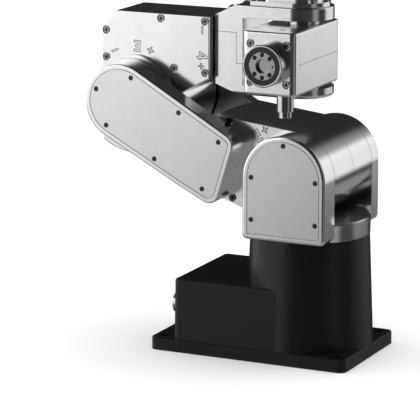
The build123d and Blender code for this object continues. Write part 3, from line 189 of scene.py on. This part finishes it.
def stage_material(name, colour):
    material = bpy.data.materials.new(name)
    material.use_nodes = True
    shader = material.node_tree.nodes["Principled BSDF"]
    shader.inputs["Base Color"].default_value = colour
    shader.inputs["Roughness"].default_value = PAPER_ROUGHNESS
    shader.inputs["Specular IOR Level"].default_value = PAPER_GLOSS
    return material


FLOOR_HALF = 30.0             # metres
SUN_STRENGTH = 3.4
SUN_SPREAD = 1.4              # radians, for a soft shadow round the base
floor_mesh = bpy.data.meshes.new("floor")
FLOOR_SIGNS = ((-1, -1), (1, -1), (1, 1), (-1, 1))
floor_corners = [(x * FLOOR_HALF, y * FLOOR_HALF, 0) for x, y in FLOOR_SIGNS]
floor_mesh.from_pydata(floor_corners, [], [(0, 1, 2, 3)])
floor = bpy.data.objects.new("floor", floor_mesh)
bpy.context.scene.collection.objects.link(floor)
floor_mesh.materials.append(stage_material("floor_paper", grey(0.92)))
floor.visible_glossy = False

sun_data = bpy.data.lights.new("overhead", "SUN")
sun_data.energy = SUN_STRENGTH
sun_data.angle = SUN_SPREAD
sun = bpy.data.objects.new("overhead", sun_data)
sun.visible_glossy = False
bpy.context.scene.collection.objects.link(sun)


# ---------------------------------------------------------------- materials
GRAIN_SCALE = 1800.0
GRAIN_DEPTH = 0.02 * MM
SHEEN_SCALE = 120.0           # slow changes of roughness
CLOUD_SCALE = 45.0            # slow changes of tone
EDGE_BAND_BREAK_SCALE = 260.0            # breaks in the band of painted edge highlight and shade
FACE_COSINE = 0.995           # true against bevelled normal: no band above this
EDGE_COSINE = 0.9             # and the whole band below this


def surface(
    name,
    colour,
    roughness,
    metallic=1.0,
    grain=0.3,
    spread=0.04,
    edge=0.25,
    edge_tone=1.08,
    turned=None,
    stretch=(1.0, 1.0, 1.0),
    gloss=0.5,
):
    """A metal or paint finish with fine grain, uneven sheen, and edges painted lighter as a painted
    highlight or darker as painted shade.

    edge_tone scales the colour of a broken band, edge mm wide, along each edge: above 1 it is a
    painted highlight, below 1 painted shade;
    turned is the x and z of an axis along Y, in metres, that the grain runs round;
    stretch scales the grain along X, Y and Z, for a brushed finish.
    """
    material = bpy.data.materials.new(name)
    material.use_nodes = True
    m = Tree(material.node_tree)
    shader = material.node_tree.nodes["Principled BSDF"]
    where = m.node("ShaderNodeTexCoord").outputs["Object"]
    normal = m.node("ShaderNodeNewGeometry").outputs["Normal"]
    bevel = m.node("ShaderNodeBevel", {"Radius": edge * MM}, samples=4).outputs[0]
    # painted edge band: edges found from the bevelled normal, broken up by noise, then painted
    # lighter or darker by edge_tone as painted highlight or painted shade
    painted_edge_band = m.ramp(m.vector("DOT_PRODUCT", normal, bevel), FACE_COSINE, EDGE_COSINE)
    painted_edge_band = m.math("MULTIPLY", painted_edge_band, m.ramp(m.noise(where, EDGE_BAND_BREAK_SCALE, 3.0), 0.35, 0.6, 0.4, 1.0))
    cloud = m.noise(where, CLOUD_SCALE, 3.0)
    tone = m.ramp(cloud, 0.3, 0.7, 0.99, 1.01, smooth=False)
    tones = m.node("ShaderNodeCombineXYZ", {0: tone, 1: tone, 2: tone}).outputs[0]
    base = m.vector("MULTIPLY", tones, colour[:3])
    # colour of the painted edge band: edge_tone above 1 gives a painted highlight, below 1 painted
    # shade
    bright = tuple(min(1.0, c * edge_tone) for c in colour[:3]) + (1.0,)
    m.feed(shader.inputs["Base Color"], m.mix_colour(painted_edge_band, base, bright))
    if turned:
        offset = m.vector("SUBTRACT", where, (turned[0], 0.0, turned[1]))
        radius = m.vector("LENGTH", m.vector("MULTIPLY", offset, (1.0, 0.0, 1.0)))
        depth = m.vector("DOT_PRODUCT", where, (0.0, 1.0, 0.0))
        grain_at = m.node("ShaderNodeCombineXYZ", {0: radius, 1: depth}).outputs[0]
    else:
        grain_at = m.vector("MULTIPLY", where, stretch)
    fine = m.noise(grain_at, GRAIN_SCALE, 2.0)
    sheen = m.noise(where, SHEEN_SCALE, 4.0)
    rough = m.ramp(sheen, 0.3, 0.7, roughness - spread, roughness + spread, smooth=False)
    fleck = m.math("MULTIPLY", m.math("SUBTRACT", fine, 0.5), spread)
    m.feed(shader.inputs["Roughness"], m.math("ADD", rough, fleck))
    bump = m.node(
        "ShaderNodeBump",
        {"Strength": grain, "Distance": GRAIN_DEPTH, "Height": fine, "Normal": bevel},
    )
    m.feed(shader.inputs["Normal"], bump.outputs[0])
    shader.inputs["Metallic"].default_value = metallic
    shader.inputs["Specular IOR Level"].default_value = gloss
    return material


SHOULDER_AXIS = (0.0, 135.0 * MM)
wrist_low, wrist_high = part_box("nose_ring")
NOSE_AXIS = ((wrist_low[0] + wrist_high[0]) / 2, (wrist_low[2] + wrist_high[2]) / 2)
ACROSS_Y = (1.0, 0.03, 1.0)   # grain drawn out along Y
ACROSS_X = (0.03, 1.0, 1.0)   # grain drawn out along X

ALUMINIUM = grey(0.86, 0.004)
# edge_tone below 1: painted shade along the edges of the bare aluminium
PAINTED_SHADE_EDGES = {"edge": 0.4, "edge_tone": 0.35}
PLAIN = {"metallic": 0.0}
TURNED_NOSE = {"spread": 0.03, "edge": 0.3, "turned": NOSE_AXIS}

SLOTS = {
    "machined_aluminium": surface(
        "aluminium_blasted", ALUMINIUM, 0.17, spread=0.012, grain=0.2, **PAINTED_SHADE_EDGES
    ),
    # edge_tone below 1: painted shade along the cover's edges
    "cover_plate": surface(
        "cover_satin",
        grey(0.80, 0.004),
        0.2,
        spread=0.012,
        grain=0.25,
        edge=0.3,
        edge_tone=0.4,
        stretch=ACROSS_X,
    ),
    # edge_tone above 1: painted highlight along the nickel's edges
    "connector_metal": surface(
        "nickel_bright", grey(0.6), 0.14, grain=0.15, edge_tone=1.6, **TURNED_NOSE
    ),
    # edge_tone 6: painted highlight along the black anodised edges
    "black_anodised": surface(
        "anodised_black", grey(0.006), 0.32, grain=0.6, edge_tone=6.0, gloss=0.3, **PLAIN
    ),
    # edge_tone above 1: painted highlight along the blackened steel's edges
    "dark_steel": surface(
        "steel_blackened", grey(0.10), 0.25, spread=0.05, edge_tone=3.0, edge=0.1
    ),
    # edge_tone below 1: painted shade round the screw heads' edges
    "screw_steel": surface("steel_screw", grey(0.34), 0.2, edge=0.15, edge_tone=0.4),
    "bearing_steel": surface("steel_bearing", grey(0.6), 0.2),
    "motor_black": surface("motor_paint", grey(0.03), 0.45, **PLAIN),
    "seal_rubber": surface("rubber_seal", grey(0.02), 0.55, **PLAIN),
    "jack_plastic": surface("plastic_jack", grey(0.02), 0.4, **PLAIN),
    "light_plastic": surface("plastic_light", grey(0.5), 0.3, **PLAIN),
    "board_green": surface("board_green", (0.02, 0.12, 0.04, 1), 0.45, **PLAIN),
}
turned_hub = surface(
    "aluminium_turned", ALUMINIUM, 0.17, spread=0.012, grain=0.7, turned=SHOULDER_AXIS, **PAINTED_SHADE_EDGES
)
brushed_wrist = surface(
    "aluminium_brushed", ALUMINIUM, 0.18, spread=0.015, grain=0.3, stretch=ACROSS_Y, **PAINTED_SHADE_EDGES
)
# nodes whose finish differs from that of their slot
NODE_LOOKS = {
    # edge_tone above 1: painted highlight along the flange's edges
    "tool_flange": surface("flange_grey", grey(0.4), 0.2, edge_tone=1.8, **TURNED_NOSE),
    "upper_arm_front": turned_hub,
    "upper_arm_rear": turned_hub,
    "wrist_upper_shell": brushed_wrist,
    "wrist_lower_shell": brushed_wrist,
}
for name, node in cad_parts.items():
    for i, given in enumerate(node.data.materials):
        node.data.materials[i] = NODE_LOOKS.get(name, SLOTS[given.name])


# ---------------------------------------------------------------- axis marks
LINE_MM = 0.5                 # width of a printed line
PROUD_MM = 0.04               # ink above the face
INK = surface("ink_grey", grey(0.02), 0.5, metallic=0.0, spread=0.08, edge_tone=1.0)


def mitred(loop, reach):
    """A closed loop of points moved sideways by reach, corners mitred."""
    moved = []
    for i, point in enumerate(loop):
        normals = []
        for a, b in ((loop[i - 1], point), (point, loop[(i + 1) % len(loop)])):
            run = np.subtract(b, a)
            normals.append(np.array((-run[1], run[0])) / np.hypot(*run))
        middle = (normals[0] + normals[1]) / 2
        moved.append(np.array(point) + reach * middle / np.dot(middle, middle))
    return moved


# outlines in units of the mark's height, centred on their own middle
MARKS = {
    "2": [
        [(-0.3, 0.5), (0.3, 0.5), (0.3, -0.09), (-0.1, -0.09), (-0.1, -0.32), (0.3, -0.32),
         (0.3, -0.5), (-0.3, -0.5), (-0.3, 0.09), (0.1, 0.09), (0.1, 0.32), (-0.3, 0.32)]
    ],
    "3": [
        [(-0.3, 0.5), (0.3, 0.5), (0.3, -0.5), (-0.3, -0.5), (-0.3, -0.32), (0.1, -0.32),
         (0.1, -0.09), (-0.15, -0.09), (-0.15, 0.09), (0.1, 0.09), (0.1, 0.32), (-0.3, 0.32)]
    ],
    "4": [
        [(0.02, 0.5), (-0.36, -0.12), (-0.36, -0.28), (0.06, -0.28), (0.06, -0.5), (0.24, -0.5),
         (0.24, -0.28), (0.36, -0.28), (0.36, -0.12), (0.24, -0.12), (0.24, 0.5)],
        [(0.06, 0.26), (-0.17, -0.12), (0.06, -0.12)],
    ],
    "+": [
        [(-0.1, -0.5), (0.1, -0.5), (0.1, -0.1), (0.5, -0.1), (0.5, 0.1), (0.1, 0.1),
         (0.1, 0.5), (-0.1, 0.5), (-0.1, 0.1), (-0.5, 0.1), (-0.5, -0.1), (-0.1, -0.1)]
    ],
    "-": [[(-0.5, -0.1), (0.5, -0.1), (0.5, 0.1), (-0.5, 0.1)]],
}


def print_mark(name, sign, centre, across, up, height, turn, body):
    """One outlined sign lying on a face: centre in mm, across and up are unit directions."""
    across = Vector(across)
    up = Vector(up)
    lift = across.cross(up) * PROUD_MM
    spin = math.radians(turn)
    vertices = []
    faces = []
    for loop in MARKS[sign]:
        sized = np.multiply(loop, height)
        sides = mitred(sized, LINE_MM / 2), mitred(sized, -LINE_MM / 2)
        first = len(vertices)
        count = len(loop)
        for side in sides:
            for x, y in side:
                u = x * math.cos(spin) - y * math.sin(spin)
                v = x * math.sin(spin) + y * math.cos(spin)
                vertices.append((Vector(centre) + across * u + up * v + lift) * MM)
        for i in range(count):
            j = (i + 1) % count
            faces.append((first + i, first + j, first + count + j, first + count + i))
    mesh = bpy.data.meshes.new(name)
    mesh.from_pydata(vertices, [], faces)
    mesh.materials.append(INK)
    piece = bpy.data.objects.new(name, mesh)
    bpy.context.scene.collection.objects.link(piece)
    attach(piece, body)


FACE_X = (1.0, 0.0, 0.0)
FACE_UP = (0.0, 0.0, 1.0)
FACE_BACK = (0.0, 1.0, 0.0)
PLATE_Y = -30.0               # forearm plate
HUB_Y = -30.7                 # upper arm's front face
WRIST_TOP = 241.5
TABLE_TOP = 102.5
# name, sign, centre, face's two directions, height, turn in degrees, body
MARK_PLACES = [
    ("elbow_minus", "-", (-141.5, PLATE_Y, 214.9), (FACE_X, FACE_UP), 5.4, 22, "forearm"),
    ("elbow_digit", "3", (-123.6, PLATE_Y, 219.3), (FACE_X, FACE_UP), 8.0, -2, "forearm"),
    ("elbow_plus", "+", (-112.7, PLATE_Y, 216.8), (FACE_X, FACE_UP), 5.0, -20, "forearm"),
    ("roll_minus", "-", (-71.6, PLATE_Y, 234.3), (FACE_X, FACE_UP), 5.4, 90, "forearm"),
    ("roll_digit", "4", (-71.8, PLATE_Y, 215.8), (FACE_X, FACE_UP), 8.0, -90, "forearm"),
    ("roll_plus", "+", (-72.6, PLATE_Y, 208.2), (FACE_X, FACE_UP), 4.2, 0, "forearm"),
    ("shoulder_digit", "2", (-28.0, HUB_Y, 161.8), (FACE_X, FACE_UP), 8.5, 35, "upper_arm"),
    ("shoulder_plus", "+", (-22.2, HUB_Y, 166.6), (FACE_X, FACE_UP), 5.0, 30, "upper_arm"),
    ("wrist_minus", "-", (-22.0, -46.0, WRIST_TOP), (FACE_X, FACE_BACK), 4.6, 0, "wrist"),
    ("wrist_plus", "+", (-2.0, -46.0, WRIST_TOP), (FACE_X, FACE_BACK), 4.6, 0, "wrist"),
    ("table_minus", "-", (36.0, -14.0, TABLE_TOP), (FACE_X, FACE_BACK), 4.6, 70, "shoulder"),
    ("table_plus", "+", (38.0, 4.0, TABLE_TOP), (FACE_X, FACE_BACK), 4.6, 90, "shoulder"),
]
for name, sign, centre, (across, up), height, turn, body in MARK_PLACES:
    print_mark(name, sign, centre, across, up, height, turn, body)
